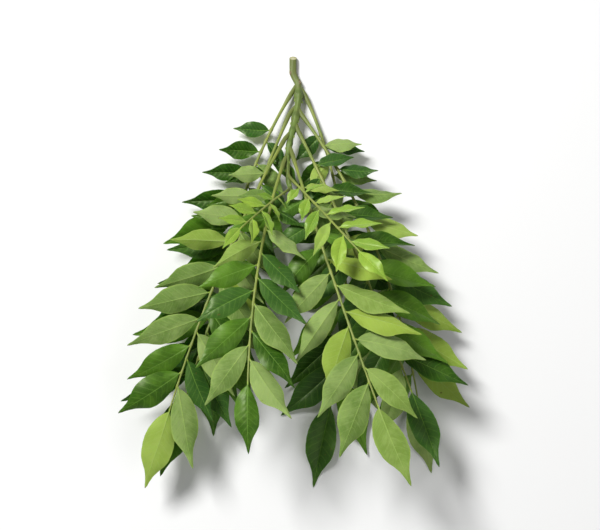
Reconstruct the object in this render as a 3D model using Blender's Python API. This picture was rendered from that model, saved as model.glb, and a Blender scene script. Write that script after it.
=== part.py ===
"""A cut curry leaf sprig lying on a surface: one green stem with pinnate fronds fanned out from it.

Metres, +Z up. The origin is under the stem's cut end, in the middle of the flat strip it lies on, and
the sprig points along -Y. Each frond is one solid: a rachis with its leaflets, placed alternately left
and right, and one leaflet at its end.
"""

import math
import random

import bmesh
import bpy
import numpy as np

# Stem
STEM_LENGTH = 0.102
STEM_BASE_RADIUS = 0.0024
STEM_TIP_RADIUS = 0.0012
HEEL_LENGTH = 0.010  # the cut end lies level for this far
HEEL_HEIGHT = 0.0020  # height of its centre, so that a narrow strip of it is flat
STEM_RISE = math.radians(9.0)  # slope just past the heel
STEM_LIFT = math.radians(19.0)  # slope at the tip
STEM_SWAY = 0.0035
STEM_SIDES = 10
STEM_RINGS = 26
NODE_SWELL = 0.0007
NODE_SWELL_LENGTH = 0.0028
STEM_BUD_LENGTH = 0.006

# What every frond shares
JOINT_GAP = 0.0003  # between a frond's foot and the stem
RACHIS_SIDES = 6
RACHIS_RINGS = 11
RACHIS_BASE_RADIUS = 0.00125
RACHIS_TIP_RADIUS = 0.00065
FOOT_SWELL = 0.0006  # the foot of a frond is a little thicker
FOOT_LENGTH = 0.007
PATH_STEPS = 160

# Leaflets
BLADE_THICKNESS = 0.0006
STALK_LENGTH = 0.0022
STALK_HALF_WIDTH = 0.0005
STALK_HALF_DEPTH = 0.0004
BLADE_STATIONS = (0.0, 0.20, 0.46, 0.76, 1.0)  # shares of a blade's length with a row of points
RIB_STEPS = 40  # steps along a stalk and along a midrib when its curve is worked out
TIP_HALF_WIDTH = 0.0004
SMALLEST_LENGTH = 0.50  # the lowest leaflets, as a share of the largest
FULL_SIZE_AT = 0.6  # share of the way up a frond where its leaflets reach full size
END_LENGTH = 1.05  # the end leaflet, as a share of the largest side leaflet
SLENDERNESS = 0.41  # width over length of the largest leaflet
BASAL_EXTRA_WIDTH = 0.22  # the lowest leaflets are rounder by this share
SPREAD_AT_BASE = math.radians(66.0)  # angle between the lowest leaflets and the rachis
SPREAD_AT_TIP = math.radians(40.0)
LIFT_SHARE = 0.45  # a leaflet rises at its base by this share of its frond's droop
BEND_SHARE = 1.6  # and bends down along its length by this share
SHINGLE = math.radians(18.0)  # each leaflet tips, so that it slides over the next one
FOLD = math.radians(11.0)  # each half of a blade rises from the rib by this
WAVE_SHARE = 0.05  # height of the slow wave along a blade's edge, over its half width
WAVE_RATE = 7.0  # radians of that wave from base to tip
LAST_GAP = 0.32  # from the last side leaflet to the end leaflet, over the largest leaflet's length
FLOOR = 0.0

# How much one leaflet differs from the next
LENGTH_SCATTER = 0.06
SLENDER_SCATTER = 0.05
SPREAD_SCATTER = math.radians(12.0)
LIFT_SCATTER = math.radians(5.0)
BEND_SCATTER = math.radians(8.0)
TIP_SCATTER = math.radians(5.0)
FOLD_RANGE = (0.7, 1.2)

# One row for each frond, from the lowest on the stem to the growing tip. "at" is the distance from
# the cut end, "heading" the direction in plan (0 along -Y, positive towards +X) and "sweep" how far
# it turns by its end, "rise" and "fall" the slope at its foot and at its end, "roll" the tilt of its
# plane, "droop" how far its leaflets bend down, "face" 1 where the leaflets' upper side is up, "first"
# the side of the lowest leaflet, and "seed" the start of its random draws.
FRONDS = (
    dict(name="frond_1", at=0.028, heading=23, sweep=-37, rise=3, fall=-2, roll=4, length=0.197,
         bare=0.026, leaflets=18, leaf=0.046, droop=0, face=1, first=1, seed=55),
    dict(name="frond_2", at=0.027, heading=-29, sweep=27, rise=8, fall=-7, roll=2, length=0.175,
         bare=0.027, leaflets=18, leaf=0.045, droop=5, face=1, first=1, seed=16),
    dict(name="frond_3", at=0.042, heading=33, sweep=-23, rise=16, fall=-14, roll=1, length=0.192,
         bare=0.025, leaflets=18, leaf=0.045, droop=0, face=-1, first=-1, seed=53),
    dict(name="frond_4", at=0.044, heading=-21, sweep=4, rise=12, fall=-5, roll=-1, length=0.186,
         bare=0.031, leaflets=18, leaf=0.046, droop=12, face=1, first=-1, seed=53),
    dict(name="frond_5", at=0.053, heading=24, sweep=-4, rise=19, fall=-2, roll=-3, length=0.179,
         bare=0.027, leaflets=16, leaf=0.045, droop=11, face=1, first=-1, seed=95),
    dict(name="frond_6", at=0.062, heading=-26, sweep=9, rise=20, fall=-6, roll=2, length=0.183,
         bare=0.026, leaflets=18, leaf=0.045, droop=7, face=-1, first=1, seed=55),
    dict(name="frond_7", at=0.072, heading=15, sweep=4, rise=27, fall=7, roll=1, length=0.173,
         bare=0.026, leaflets=16, leaf=0.045, droop=12, face=-1, first=-1, seed=59),
    dict(name="frond_8", at=0.078, heading=-15, sweep=14, rise=33, fall=7, roll=2, length=0.151,
         bare=0.029, leaflets=14, leaf=0.043, droop=14, face=-1, first=1, seed=13),
    dict(name="frond_9", at=0.089, heading=34, sweep=4, rise=48, fall=24, roll=0, length=0.082,
         bare=0.014, leaflets=10, leaf=0.024, droop=12, face=1, first=1, seed=56),
    dict(name="frond_10", at=0.096, heading=-40, sweep=-1, rise=56, fall=31, roll=1, length=0.057,
         bare=0.016, leaflets=8, leaf=0.018, droop=10, face=1, first=-1, seed=50),
)

STEM_GREEN = (0.100, 0.165, 0.028, 1.0)
UPPER_GREEN = (0.030, 0.095, 0.010, 1.0)
UNDER_GREEN = (0.260, 0.385, 0.080, 1.0)
YOUNG_GREEN = (0.350, 0.510, 0.070, 1.0)


def unit(vectors):
    return vectors / np.linalg.norm(vectors, axis=-1, keepdims=True)


def turned(vectors, axes, angles):
    """The vectors turned about unit axes by angles, one for each row."""
    cos = np.cos(angles)[..., None]
    sin = np.sin(angles)[..., None]
    along = np.sum(vectors * axes, axis=-1, keepdims=True)
    return vectors * cos + np.cross(axes, vectors) * sin + axes * along * (1 - cos)


def smooth(x):
    x = np.clip(x, 0.0, 1.0)
    return x * x * (3 - 2 * x)


def walk(start, headings, slopes, length):
    """Points along a curve of this length, whose direction at each step is a heading and a slope."""
    ways = np.stack([np.sin(headings) * np.cos(slopes), -np.cos(headings) * np.cos(slopes),
                     np.sin(slopes)], axis=-1)
    middles = unit(ways[1:] + ways[:-1])
    steps = middles * length / (len(ways) - 1)
    return start + np.vstack([np.zeros(3), np.cumsum(steps, axis=0)]), ways


def stem_line():
    t = np.linspace(0.0, 1.0, PATH_STEPS + 1)
    past_heel = smooth((t * STEM_LENGTH - HEEL_LENGTH) / HEEL_LENGTH)
    slopes = past_heel * (STEM_RISE + (STEM_LIFT - STEM_RISE) * t)
    start = np.array([0.0, HEEL_LENGTH / 2, HEEL_HEIGHT])
    points, ways = walk(start, t * 0.0, slopes, STEM_LENGTH)
    points[:, 0] += STEM_SWAY * past_heel * np.sin(2 * math.pi * t)
    return points, unit(np.gradient(points, axis=0))


def stem_radius(along):
    """The stem tapers, swells where a frond grows from it, and closes to a point at its bud."""
    share = along / STEM_LENGTH
    radius = STEM_BASE_RADIUS + (STEM_TIP_RADIUS - STEM_BASE_RADIUS) * share
    for frond in FRONDS:
        radius = radius + NODE_SWELL * (1 - share * 0.5) * np.exp(
            -((along - frond["at"]) / NODE_SWELL_LENGTH) ** 2)
    left = np.clip((STEM_LENGTH - along) / STEM_BUD_LENGTH, 0.04, 1.0)
    return radius * np.sqrt(left)


def at_path(points, share):
    """The path's value at shares of its length, for each column."""
    grid = np.linspace(0.0, 1.0, len(points))
    return np.stack([np.interp(share, grid, points[:, k]) for k in range(3)], axis=-1)


def frond_line(frond):
    """Points, directions, sideways vectors and normals along a frond's rachis, from foot to end."""
    stem, stem_ways = stem_line()
    foot_share = frond["at"] / STEM_LENGTH
    foot = at_path(stem, foot_share)
    t = np.linspace(0.0, 1.0, PATH_STEPS + 1)
    heading = math.radians(frond["heading"]) + math.radians(frond["sweep"]) * t
    slope = math.radians(frond["rise"]) + math.radians(frond["fall"] - frond["rise"]) * t
    first = np.array([math.sin(heading[0]) * math.cos(slope[0]),
                      -math.cos(heading[0]) * math.cos(slope[0]), math.sin(slope[0])])
    stem_way = unit(at_path(stem_ways, foot_share))
    outward = unit(first - stem_way * np.dot(first, stem_way))
    foot_radius = rachis_radius(0.0, frond["length"])
    reach = foot_radius * math.sqrt(1 - np.dot(first, outward) ** 2)  # of the slanted foot's rim
    start = foot + outward * (stem_radius(frond["at"]) + JOINT_GAP + reach)
    points, ways = walk(start, heading, slope, frond["length"])
    up = np.array([0.0, 0.0, 1.0])
    sides = unit(np.cross(ways, up))
    sides = turned(sides, ways, np.full(len(t), math.radians(frond["roll"])))
    return points, ways, sides, unit(np.cross(sides, ways))


def rachis_radius(share, length):
    thick = RACHIS_TIP_RADIUS + (RACHIS_BASE_RADIUS - RACHIS_TIP_RADIUS) * min(1.0, length / 0.15)
    foot = FOOT_SWELL * np.exp(-(share * length / FOOT_LENGTH) ** 2) * min(1.0, length / 0.12)
    return thick + (RACHIS_TIP_RADIUS - thick) * share + foot


def leaflets_of(frond):
    """One dict for each leaflet: its place on the rachis, its side, its size and its pose."""
    draw = random.Random(frond["seed"])
    count = frond["leaflets"]
    last = frond["length"] - LAST_GAP * frond["leaf"]
    droop = math.radians(frond["droop"])
    found = []
    for number in range(count + 1):
        end = number == count
        q = 1.0 if end else number / (count - 1)
        grown = SMALLEST_LENGTH + (1 - SMALLEST_LENGTH) * float(smooth(q / FULL_SIZE_AT))
        length = frond["leaf"] * (END_LENGTH if end else grown) * draw.uniform(
            1 - LENGTH_SCATTER, 1 + LENGTH_SCATTER)
        rounder = 1 + BASAL_EXTRA_WIDTH * (1 - float(smooth(q / 0.5)))
        slender = SLENDERNESS * rounder * draw.uniform(1 - SLENDER_SCATTER, 1 + SLENDER_SCATTER)
        spread = SPREAD_AT_BASE + (SPREAD_AT_TIP - SPREAD_AT_BASE) * q
        found.append(dict(
            share=1.0 if end else (frond["bare"] + (last - frond["bare"]) * q) / frond["length"],
            side=0 if end else frond["first"] * (-1 if number % 2 else 1),
            length=length,
            half_width=length * slender / 2,
            spread=0.0 if end else spread + draw.uniform(-SPREAD_SCATTER, SPREAD_SCATTER),
            lift=droop * LIFT_SHARE + draw.uniform(-LIFT_SCATTER, LIFT_SCATTER),
            bend=droop * BEND_SHARE + draw.uniform(-BEND_SCATTER, BEND_SCATTER),
            tip=0.0 if end else SHINGLE + draw.uniform(-TIP_SCATTER, TIP_SCATTER),
            fold=FOLD * frond["face"] * draw.uniform(*FOLD_RANGE),
            wave=draw.uniform(0.0, 2 * math.pi),
        ))
    return found


def outline(u, half_width, lower):
    """Half width of a blade at u from 0, its base, to 1, its tip. The lower half is narrower at its base."""
    power = 1.02 if lower else 0.72
    peak = power / (power + 1.08)
    full = peak ** power * (1 - peak) ** 1.08
    body = np.clip(u, 0, 1) ** power * np.clip(1 - u, 0, 1) ** 1.08 / full
    drawn_out = 1 - 0.22 * smooth((u - 0.62) / 0.25) * (1 - smooth((u - 0.9) / 0.1))
    return half_width * (0.95 if lower else 1.05) * body * drawn_out


def blade_points(leaflet, line, u, v):
    """Middle surface of a leaflet at u along its rib and v across, from -1 to 1, with its normals."""
    points, ways, sides, normals = line
    root = at_path(points, leaflet["share"])
    way = unit(at_path(ways, leaflet["share"]))
    side = unit(at_path(sides, leaflet["share"]))
    up = unit(at_path(normals, leaflet["share"]))
    hand = leaflet["side"] or 1
    out = way * math.cos(leaflet["spread"]) + side * hand * math.sin(leaflet["spread"])
    across = unit(np.cross(up, out)) * hand
    stalk = STALK_LENGTH * min(1.0, leaflet["length"] / 0.03)
    grid = np.linspace(-1.0, 1.0, RIB_STEPS * 2 + 1)
    theta = leaflet["lift"] - leaflet["bend"] * np.clip(grid, 0, 1) ** 1.3
    rib_ways = np.cos(theta)[:, None] * out + np.sin(theta)[:, None] * up
    pace = np.where(grid[1:] <= 0, stalk, leaflet["length"])[:, None] / RIB_STEPS
    strides = (rib_ways[1:] + rib_ways[:-1]) / 2 * pace
    rib = root + np.vstack([np.zeros(3), np.cumsum(strides, axis=0)])
    centre = np.stack([np.interp(u, grid, rib[:, k]) for k in range(3)], axis=-1)
    along = unit(np.stack([np.interp(u, grid, rib_ways[:, k]) for k in range(3)], axis=-1))
    tilt = -hand * leaflet["tip"] * smooth(u / 0.3)
    cross = turned(np.broadcast_to(across * hand, along.shape), along, tilt * hand)
    raised = np.cross(cross, along)
    raised = raised * np.sign(np.sum(raised * up, axis=-1, keepdims=True))
    lower = v * hand > 0
    width = np.where(lower, outline(u, leaflet["half_width"], True),
                     outline(u, leaflet["half_width"], False))
    width = np.maximum(width, np.where(u <= 0.0, STALK_HALF_WIDTH, TIP_HALF_WIDTH))
    height = np.abs(v) * width * math.sin(leaflet["fold"])
    height = height + WAVE_SHARE * width * v * np.sin(WAVE_RATE * u + leaflet["wave"])
    surface = centre + cross * (v * width * math.cos(leaflet["fold"]))[..., None]
    return surface + raised * height[..., None], raised


def leaflet_mesh(leaflet, line):
    """A closed thin solid: the stalk sunk in the rachis, then a blade folded along its rib."""
    stations = np.array((-1.0,) + BLADE_STATIONS)
    columns = np.array([-1.0, 0.0, 1.0])
    u, v = np.meshgrid(stations, columns, indexing="ij")
    middle, normals = blade_points(leaflet, line, u, v)
    half = np.where(u < 0.1, STALK_HALF_DEPTH, BLADE_THICKNESS / 2)[..., None]
    settled = np.maximum(middle[..., 2], FLOOR + half[..., 0])
    middle = np.concatenate([middle[..., :2], settled[..., None]], axis=-1)
    touching = (middle[..., 2] <= FLOOR + half[..., 0] + 1e-9)[..., None]
    straight_up = np.broadcast_to(np.array([0.0, 0.0, 1.0]), normals.shape)
    normals = np.where(touching, straight_up, normals)
    top = middle + normals * half
    bottom = middle - normals * half
    rows, cols = len(stations), len(columns)
    bm = bmesh.new()
    upper = [[bm.verts.new(top[i, j]) for j in range(cols)] for i in range(rows)]
    under = [[bm.verts.new(bottom[i, j]) for j in range(cols)] for i in range(rows)]

    def quad(a, b, c, d):
        bm.faces.new((a, b, c))
        bm.faces.new((a, c, d))

    for i in range(rows - 1):
        for j in range(cols - 1):
            quad(upper[i][j], upper[i][j + 1], upper[i + 1][j + 1], upper[i + 1][j])
            quad(under[i][j], under[i + 1][j], under[i + 1][j + 1], under[i][j + 1])
        quad(upper[i][0], upper[i + 1][0], under[i + 1][0], under[i][0])
        quad(upper[i][-1], under[i][-1], under[i + 1][-1], upper[i + 1][-1])
    for j in range(cols - 1):
        quad(upper[0][j], under[0][j], under[0][j + 1], upper[0][j + 1])
        quad(upper[-1][j], upper[-1][j + 1], under[-1][j + 1], under[-1][j])
    bmesh.ops.recalc_face_normals(bm, faces=bm.faces)
    return bm


def tube_mesh(centres, ways, radii, sides, floor=None):
    """A closed tube with a ring of points about each centre."""
    bm = bmesh.new()
    up = np.array([0.0, 0.0, 1.0])
    rings = []
    for centre, way, radius in zip(centres, ways, radii):
        right = unit(np.cross(way, up))
        over = np.cross(right, way)
        ring = []
        for k in range(sides):
            angle = 2 * math.pi * k / sides
            point = centre + (right * math.cos(angle) + over * math.sin(angle)) * radius
            if floor is not None:
                point[2] = max(point[2], floor)
            ring.append(bm.verts.new(point))
        rings.append(ring)
    for first, second in zip(rings, rings[1:]):
        for k in range(sides):
            n = (k + 1) % sides
            bm.faces.new((first[k], first[n], second[n], second[k]))
    bm.faces.new(rings[0])
    bm.faces.new(rings[-1])
    bmesh.ops.recalc_face_normals(bm, faces=bm.faces)
    return bm


def object_from(bm, name, collection):
    mesh = bpy.data.meshes.new(name)
    bm.to_mesh(mesh)
    bm.free()
    obj = bpy.data.objects.new(name, mesh)
    collection.objects.link(obj)
    return obj


def material(name, colour, roughness):
    made = bpy.data.materials.new(name)
    made.use_nodes = True
    shader = made.node_tree.nodes["Principled BSDF"]
    shader.inputs["Base Color"].default_value = colour
    shader.inputs["Roughness"].default_value = roughness
    shader.inputs["Metallic"].default_value = 0.0
    return made


def build_stem(finish):
    points, ways = stem_line()
    share = np.linspace(0.0, 1.0, STEM_RINGS)
    radii = stem_radius(share * STEM_LENGTH)
    bm = tube_mesh(at_path(points, share), unit(at_path(ways, share)), radii, STEM_SIDES, FLOOR)
    stem = object_from(bm, "stem", bpy.context.scene.collection)
    stem.data.materials.append(finish)
    return stem


def main_body(mesh):
    """Only the largest closed shell of a mesh is kept: sealed hollows are filled and loose scraps dropped."""
    bm = bmesh.new()
    bm.from_mesh(mesh)
    shells = []
    waiting = set(bm.faces)
    while waiting:
        shell = [waiting.pop()]
        for face in shell:
            for edge in face.edges:
                for other in edge.link_faces:
                    if other in waiting:
                        waiting.remove(other)
                        shell.append(other)
        shells.append(shell)
    largest = max(shells, key=lambda shell: sum(face.calc_area() for face in shell))
    spare = [face for shell in shells if shell is not largest for face in shell]
    bmesh.ops.delete(bm, geom=spare, context="FACES")
    bm.to_mesh(mesh)
    bm.free()


def build_frond(frond, finish):
    """The rachis with every leaflet joined to it by one union."""
    line = frond_line(frond)
    points, ways = line[0], line[1]
    share = np.linspace(0.0, 1.0, RACHIS_RINGS)
    radii = rachis_radius(share, frond["length"])
    bm = tube_mesh(at_path(points, share), unit(at_path(ways, share)), radii, RACHIS_SIDES, FLOOR)
    rachis = object_from(bm, frond["name"], bpy.context.scene.collection)
    blades = bpy.data.collections.new(frond["name"] + "_leaflets")
    bpy.context.scene.collection.children.link(blades)
    for number, leaflet in enumerate(leaflets_of(frond)):
        object_from(leaflet_mesh(leaflet, line), f"{frond['name']}_leaflet_{number}", blades)
    union = rachis.modifiers.new("join", "BOOLEAN")
    union.operation = "UNION"
    union.operand_type = "COLLECTION"
    union.collection = blades
    union.solver = "MANIFOLD"
    bpy.context.view_layer.update()
    evaluated = rachis.evaluated_get(bpy.context.evaluated_depsgraph_get())
    joined = bpy.data.meshes.new_from_object(evaluated)
    rachis.modifiers.clear()
    rachis.data = joined
    for blade in list(blades.objects):
        bpy.data.objects.remove(blade)
    bpy.data.collections.remove(blades)
    main_body(joined)
    joined.materials.clear()
    joined.materials.append(finish)
    return rachis


def main():
    for obj in list(bpy.data.objects):
        bpy.data.objects.remove(obj)
    upper = material("leaf_upper_side", UPPER_GREEN, 0.35)
    under = material("leaf_under_side", UNDER_GREEN, 0.55)
    young = material("young_leaf", YOUNG_GREEN, 0.45)
    build_stem(material("stem_bark", STEM_GREEN, 0.6))
    for frond in FRONDS:
        grown = frond["leaf"] > 0.03
        build_frond(frond, (upper if frond["face"] > 0 else under) if grown else young)


main()
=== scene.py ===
# Curry leaf sprig: the looks. Lengths are in metres, +Z is up, the cut end is near the origin
# and the leaf tips point towards -Y. Stem, fronds and leaflets follow the solids' own formulas.
import math
import random
from math import pi, radians

import bpy
import numpy as np
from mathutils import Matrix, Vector


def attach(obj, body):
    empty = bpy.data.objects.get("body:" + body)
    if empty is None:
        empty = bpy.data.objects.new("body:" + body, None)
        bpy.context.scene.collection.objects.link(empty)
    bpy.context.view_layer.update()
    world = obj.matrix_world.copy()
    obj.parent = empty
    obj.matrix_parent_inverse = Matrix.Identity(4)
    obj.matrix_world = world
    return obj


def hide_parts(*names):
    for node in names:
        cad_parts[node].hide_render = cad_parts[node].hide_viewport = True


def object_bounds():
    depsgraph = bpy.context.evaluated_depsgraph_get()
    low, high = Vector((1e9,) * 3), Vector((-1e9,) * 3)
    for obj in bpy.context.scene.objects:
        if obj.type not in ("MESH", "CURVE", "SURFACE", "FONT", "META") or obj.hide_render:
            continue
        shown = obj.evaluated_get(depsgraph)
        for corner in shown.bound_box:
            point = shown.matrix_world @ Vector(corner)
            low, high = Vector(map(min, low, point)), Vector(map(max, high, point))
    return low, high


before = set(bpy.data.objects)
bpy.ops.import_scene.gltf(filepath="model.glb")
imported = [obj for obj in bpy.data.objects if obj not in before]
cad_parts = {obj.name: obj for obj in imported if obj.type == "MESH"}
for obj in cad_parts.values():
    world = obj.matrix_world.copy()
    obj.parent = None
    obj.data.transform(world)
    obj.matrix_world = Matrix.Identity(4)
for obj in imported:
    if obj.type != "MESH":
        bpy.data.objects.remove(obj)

cadBox = [list(corner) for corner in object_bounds()]
scene = bpy.context.scene
upright = np.array([0.0, 0.0, 1.0])
print("frame loaded:", len(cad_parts), "solids")

sprig = dict(
    pathSteps=160,        # steps along the stem and along each rachis
    jointGap=0.0003,      # between a frond's foot and the stem, in the solids
    floor=0.0, settle=0.00002,
)

# One row for each frond, from the lowest to the growing tip, in metres and degrees: at is the distance
# from the cut end, heading is in plan and changes by sweep, the slope goes from rise to fall, bare is
# the stalk before the first leaflet, leaf the leaflets' length, face 1 where their upper side is up,
# first the first one's side, and seed is for the solids' own draws. upperShare is the share of them
# with the upper side on top here, and lightness and lookSeed are for what no solid has.
frondColumns = ("name", "at", "heading", "sweep", "rise", "fall", "roll", "length", "bare", "leaflets",
                "leaf", "droop", "face", "first", "seed", "upperShare", "lightness", "lookSeed")
fronds = [dict(zip(frondColumns, row)) for row in (
    ("frond_1",  0.028,  23, -37,  3,  -2,  4, 0.197, 0.026, 18, 0.046,  0,  1,  1, 55, 0.9,  0.3,   1),
    ("frond_2",  0.027, -29,  27,  8,  -7,  2, 0.175, 0.027, 18, 0.045,  5,  1,  1, 16, 0.9,  0.45,  1),
    ("frond_3",  0.042,  33, -23, 16, -14,  1, 0.192, 0.025, 18, 0.045,  0, -1, -1, 53, 0.3,  0.6,  10),
    ("frond_4",  0.044, -21,   4, 12,  -5, -1, 0.186, 0.031, 18, 0.046, 12,  1, -1, 53, 0.92, 0.2,   6),
    ("frond_5",  0.053,  24,  -4, 19,  -2, -3, 0.179, 0.027, 16, 0.045, 11,  1, -1, 95, 0.9,  0.5,   1),
    ("frond_6",  0.062, -26,   9, 20,  -6,  2, 0.183, 0.026, 18, 0.045,  7, -1,  1, 55, 0.3,  0.55, 14),
    ("frond_7",  0.072,  15,   4, 27,   7,  1, 0.173, 0.026, 16, 0.045, 12, -1, -1, 59, 0.25, 0.5,   5),
    ("frond_8",  0.078, -15,  14, 33,   7,  2, 0.151, 0.029, 14, 0.043, 14, -1,  1, 13, 0.62, 0.6,   3),
    ("frond_9",  0.089,  34,   4, 48,  24,  0, 0.082, 0.014, 10, 0.024, 12,  1,  1, 56, 0.8,  0.6,   1),
    ("frond_10", 0.096, -40,  -1, 56,  31,  1, 0.057, 0.016,  8, 0.018, 10,  1, -1, 50, 0.8,  0.7,   3),
)]


def unit(vectors):
    # each vector over its own length
    return vectors / np.linalg.norm(vectors, axis=-1, keepdims=True)


def turned(vectors, axes, angles):
    # each vector turned round a unit axis: itself times the cosine, plus axis cross vector times the
    # sine, plus its part along the axis times one less the cosine
    cos, sin = np.cos(angles)[..., None], np.sin(angles)[..., None]
    along = np.sum(vectors * axes, axis=-1, keepdims=True)
    return vectors * cos + np.cross(axes, vectors) * sin + axes * along * (1 - cos)


def smooth(x):
    # three times the square less twice the cube, held between 0 and 1
    x = np.clip(x, 0.0, 1.0)
    return x * x * (3 - 2 * x)


def bell(distance, width):
    # e to the minus square of the distance over the width
    return np.exp(-(distance / width) ** 2)


def wayOf(heading, slope):
    # the unit vector whose plan turns by the heading from -Y towards +X, and which climbs by the slope
    level = np.cos(slope)
    return np.stack([np.sin(heading) * level, -np.cos(heading) * level, np.sin(slope)], axis=-1)


def walkPath(start, headings, slopes, length):
    # the running sum of equal steps, each along the mean of the ways at its two ends
    ways = wayOf(headings, slopes)
    steps = unit(ways[1:] + ways[:-1]) * length / (len(ways) - 1)
    return start + np.vstack([np.zeros(3), np.cumsum(steps, axis=0)]), ways


def atPath(points, share):
    # the path's value at a share of its length, straight between its points
    grid = np.linspace(0.0, 1.0, len(points))
    return np.stack([np.interp(share, grid, points[:, k]) for k in range(3)], axis=-1)


# the stem lies on its heel and climbs from there
stemShape = dict(
    length=0.102, baseRadius=0.0024, tipRadius=0.0012, heelLength=0.01, heelHeight=0.002,
    rise=radians(9), lift=radians(19), sway=0.0035,
    nodeSwell=0.0007, nodeSwellLength=0.0028, nodeFade=0.5, budLength=0.006, budEnd=0.04,
)


def stemPath():
    # level along the heel, then a slope that grows evenly from rise to lift, with one sine wave sideways
    s = stemShape
    t = np.linspace(0.0, 1.0, sprig["pathSteps"] + 1)
    pastHeel = smooth((t * s["length"] - s["heelLength"]) / s["heelLength"])
    slopes = pastHeel * (s["rise"] + (s["lift"] - s["rise"]) * t)
    start = np.array([0.0, s["heelLength"] / 2, s["heelHeight"]])
    points, ways = walkPath(start, t * 0.0, slopes, s["length"])
    points[:, 0] += s["sway"] * pastHeel * np.sin(2 * pi * t)
    return points, unit(np.gradient(points, axis=0))


def stemRadius(along):
    # an even taper plus a bell at each frond's foot, times the square root that closes the growing tip
    s = stemShape
    share = along / s["length"]
    radius = s["baseRadius"] + (s["tipRadius"] - s["baseRadius"]) * share
    for frond in fronds:
        swell = s["nodeSwell"] * (1 - share * s["nodeFade"])
        radius = radius + swell * bell(along - frond["at"], s["nodeSwellLength"])
    return radius * np.sqrt(np.clip((s["length"] - along) / s["budLength"], s["budEnd"], 1.0))


# the stalk of a frond; its root is the part inside the stem
rachisShape = dict(
    baseRadius=0.00125, tipRadius=0.00065, footSwell=0.0006, footLength=0.007,
    fullLength=0.15, fullFootLength=0.12,  # a shorter frond is thinner, with a smaller foot
    rootBack=0.0115, rootLean=0.5, rootBend=0.45, rootRings=14,
)


def rachisRadius(share, length):
    # an even taper, thicker in a longer frond, plus half a bell at the foot
    r = rachisShape
    thick = r["tipRadius"] + (r["baseRadius"] - r["tipRadius"]) * min(1.0, length / r["fullLength"])
    foot = r["footSwell"] * bell(share * length, r["footLength"]) * min(1.0, length / r["fullFootLength"])
    return thick + (r["tipRadius"] - thick) * share + foot


def frondPath(frond):
    # heading and slope change evenly from foot to end; the foot stands off the stem by its own rim
    r = rachisShape
    stem, stemWays = stemPath()
    footShare = frond["at"] / stemShape["length"]
    foot = atPath(stem, footShare)
    t = np.linspace(0.0, 1.0, sprig["pathSteps"] + 1)
    heading = radians(frond["heading"]) + radians(frond["sweep"]) * t
    slope = radians(frond["rise"]) + radians(frond["fall"] - frond["rise"]) * t
    first = wayOf(heading[0], slope[0])
    stemWay = unit(atPath(stemWays, footShare))
    outward = unit(first - stemWay * np.dot(first, stemWay))
    lean = np.dot(first, outward)
    reach = rachisRadius(0.0, frond["length"]) * math.sqrt(1 - lean ** 2)
    start = foot + outward * (stemRadius(frond["at"]) + sprig["jointGap"] + reach)
    points, ways = walkPath(start, heading, slope, frond["length"])
    sides = unit(np.cross(ways, upright))
    sides = turned(sides, ways, np.full(len(t), radians(frond["roll"])))
    # the root is a curve of three points: back from the foot, then into the middle of the stem
    back = r["rootBack"] * (1 - r["rootLean"] * lean)
    inner = atPath(stem, footShare - back / stemShape["length"])
    bend = start - first * back * r["rootBend"]
    t = np.linspace(1.0, 0.0, r["rootRings"], endpoint=False)[:, None]
    root = (1 - t) ** 2 * start + 2 * t * (1 - t) * bend + t ** 2 * inner
    rootWays = unit(2 * (1 - t) * (start - bend) + 2 * t * (bend - inner))
    return dict(points=points, ways=ways, sides=sides, normals=unit(np.cross(sides, ways)),
                outward=outward, root=root, rootWays=rootWays)


# a leaflet before its random draws, as in the solids but thinner and with a longer tip
leafletShape = dict(
    thickness=0.0003, edgeThickness=0.00014,
    stalkLength=0.0022, stalkHalfWidth=0.00048, stalkHalfDepth=0.00042,
    fullStalkAt=0.03, stalkRun=0.1, tipHalfWidth=0.00016, ribSteps=40,
    smallest=0.5, fullSizeAt=0.6, endLength=1.05,
    slenderness=0.41, basalExtraWidth=0.22,
    lowerPower=1.02, upperPower=0.72, tipPower=1.08, lowerWidth=0.95, upperWidth=1.05,
    drawnOut=0.44, drawnFrom=0.58, drawnRun=0.28, drawnTo=0.91,
    spreadAtBase=radians(66), spreadAtTip=radians(40),
    liftShare=0.45, bendShare=1.6, bendPower=1.3, shingle=radians(18),
    fold=radians(11), foldRange=(0.7, 1.2),
    waveShare=0.05, waveRate=7.0, lastGap=0.32,
    lengthScatter=0.06, slenderScatter=0.05, spreadScatter=radians(12),
    liftScatter=radians(5), bendScatter=radians(8), tipScatter=radians(5),
)


def leafletRows(frond):
    # one dict for each leaflet, with the random draws in the solids' own order
    s = leafletShape
    draw = random.Random(frond["seed"])
    count = frond["leaflets"]
    last = frond["length"] - s["lastGap"] * frond["leaf"]
    droop = radians(frond["droop"])

    def about(middle, scatter):
        # one draw, evenly spread to the scatter on both sides of the middle
        return draw.uniform(middle - s[scatter], middle + s[scatter])

    rows = []
    for number in range(count + 1):
        end = number == count
        q = 1.0 if end else number / (count - 1)
        grown = s["smallest"] + (1 - s["smallest"]) * float(smooth(q / s["fullSizeAt"]))
        length = frond["leaf"] * (s["endLength"] if end else grown) * about(1, "lengthScatter")
        rounder = 1 + s["basalExtraWidth"] * (1 - float(smooth(q / 0.5)))
        slender = s["slenderness"] * rounder * about(1, "slenderScatter")
        spread = s["spreadAtBase"] + (s["spreadAtTip"] - s["spreadAtBase"]) * q
        rows.append(dict(
            share=1.0 if end else (frond["bare"] + (last - frond["bare"]) * q) / frond["length"],
            side=0 if end else frond["first"] * (-1) ** number,
            length=length,
            halfWidth=length * slender / 2,
            spread=0.0 if end else spread + about(0, "spreadScatter"),
            lift=droop * s["liftShare"] + about(0, "liftScatter"),
            bend=droop * s["bendShare"] + about(0, "bendScatter"),
            tip=0.0 if end else s["shingle"] + about(0, "tipScatter"),
            fold=s["fold"] * frond["face"] * draw.uniform(*s["foldRange"]),
            wave=draw.uniform(0.0, 2 * pi),
        ))
    return rows


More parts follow.
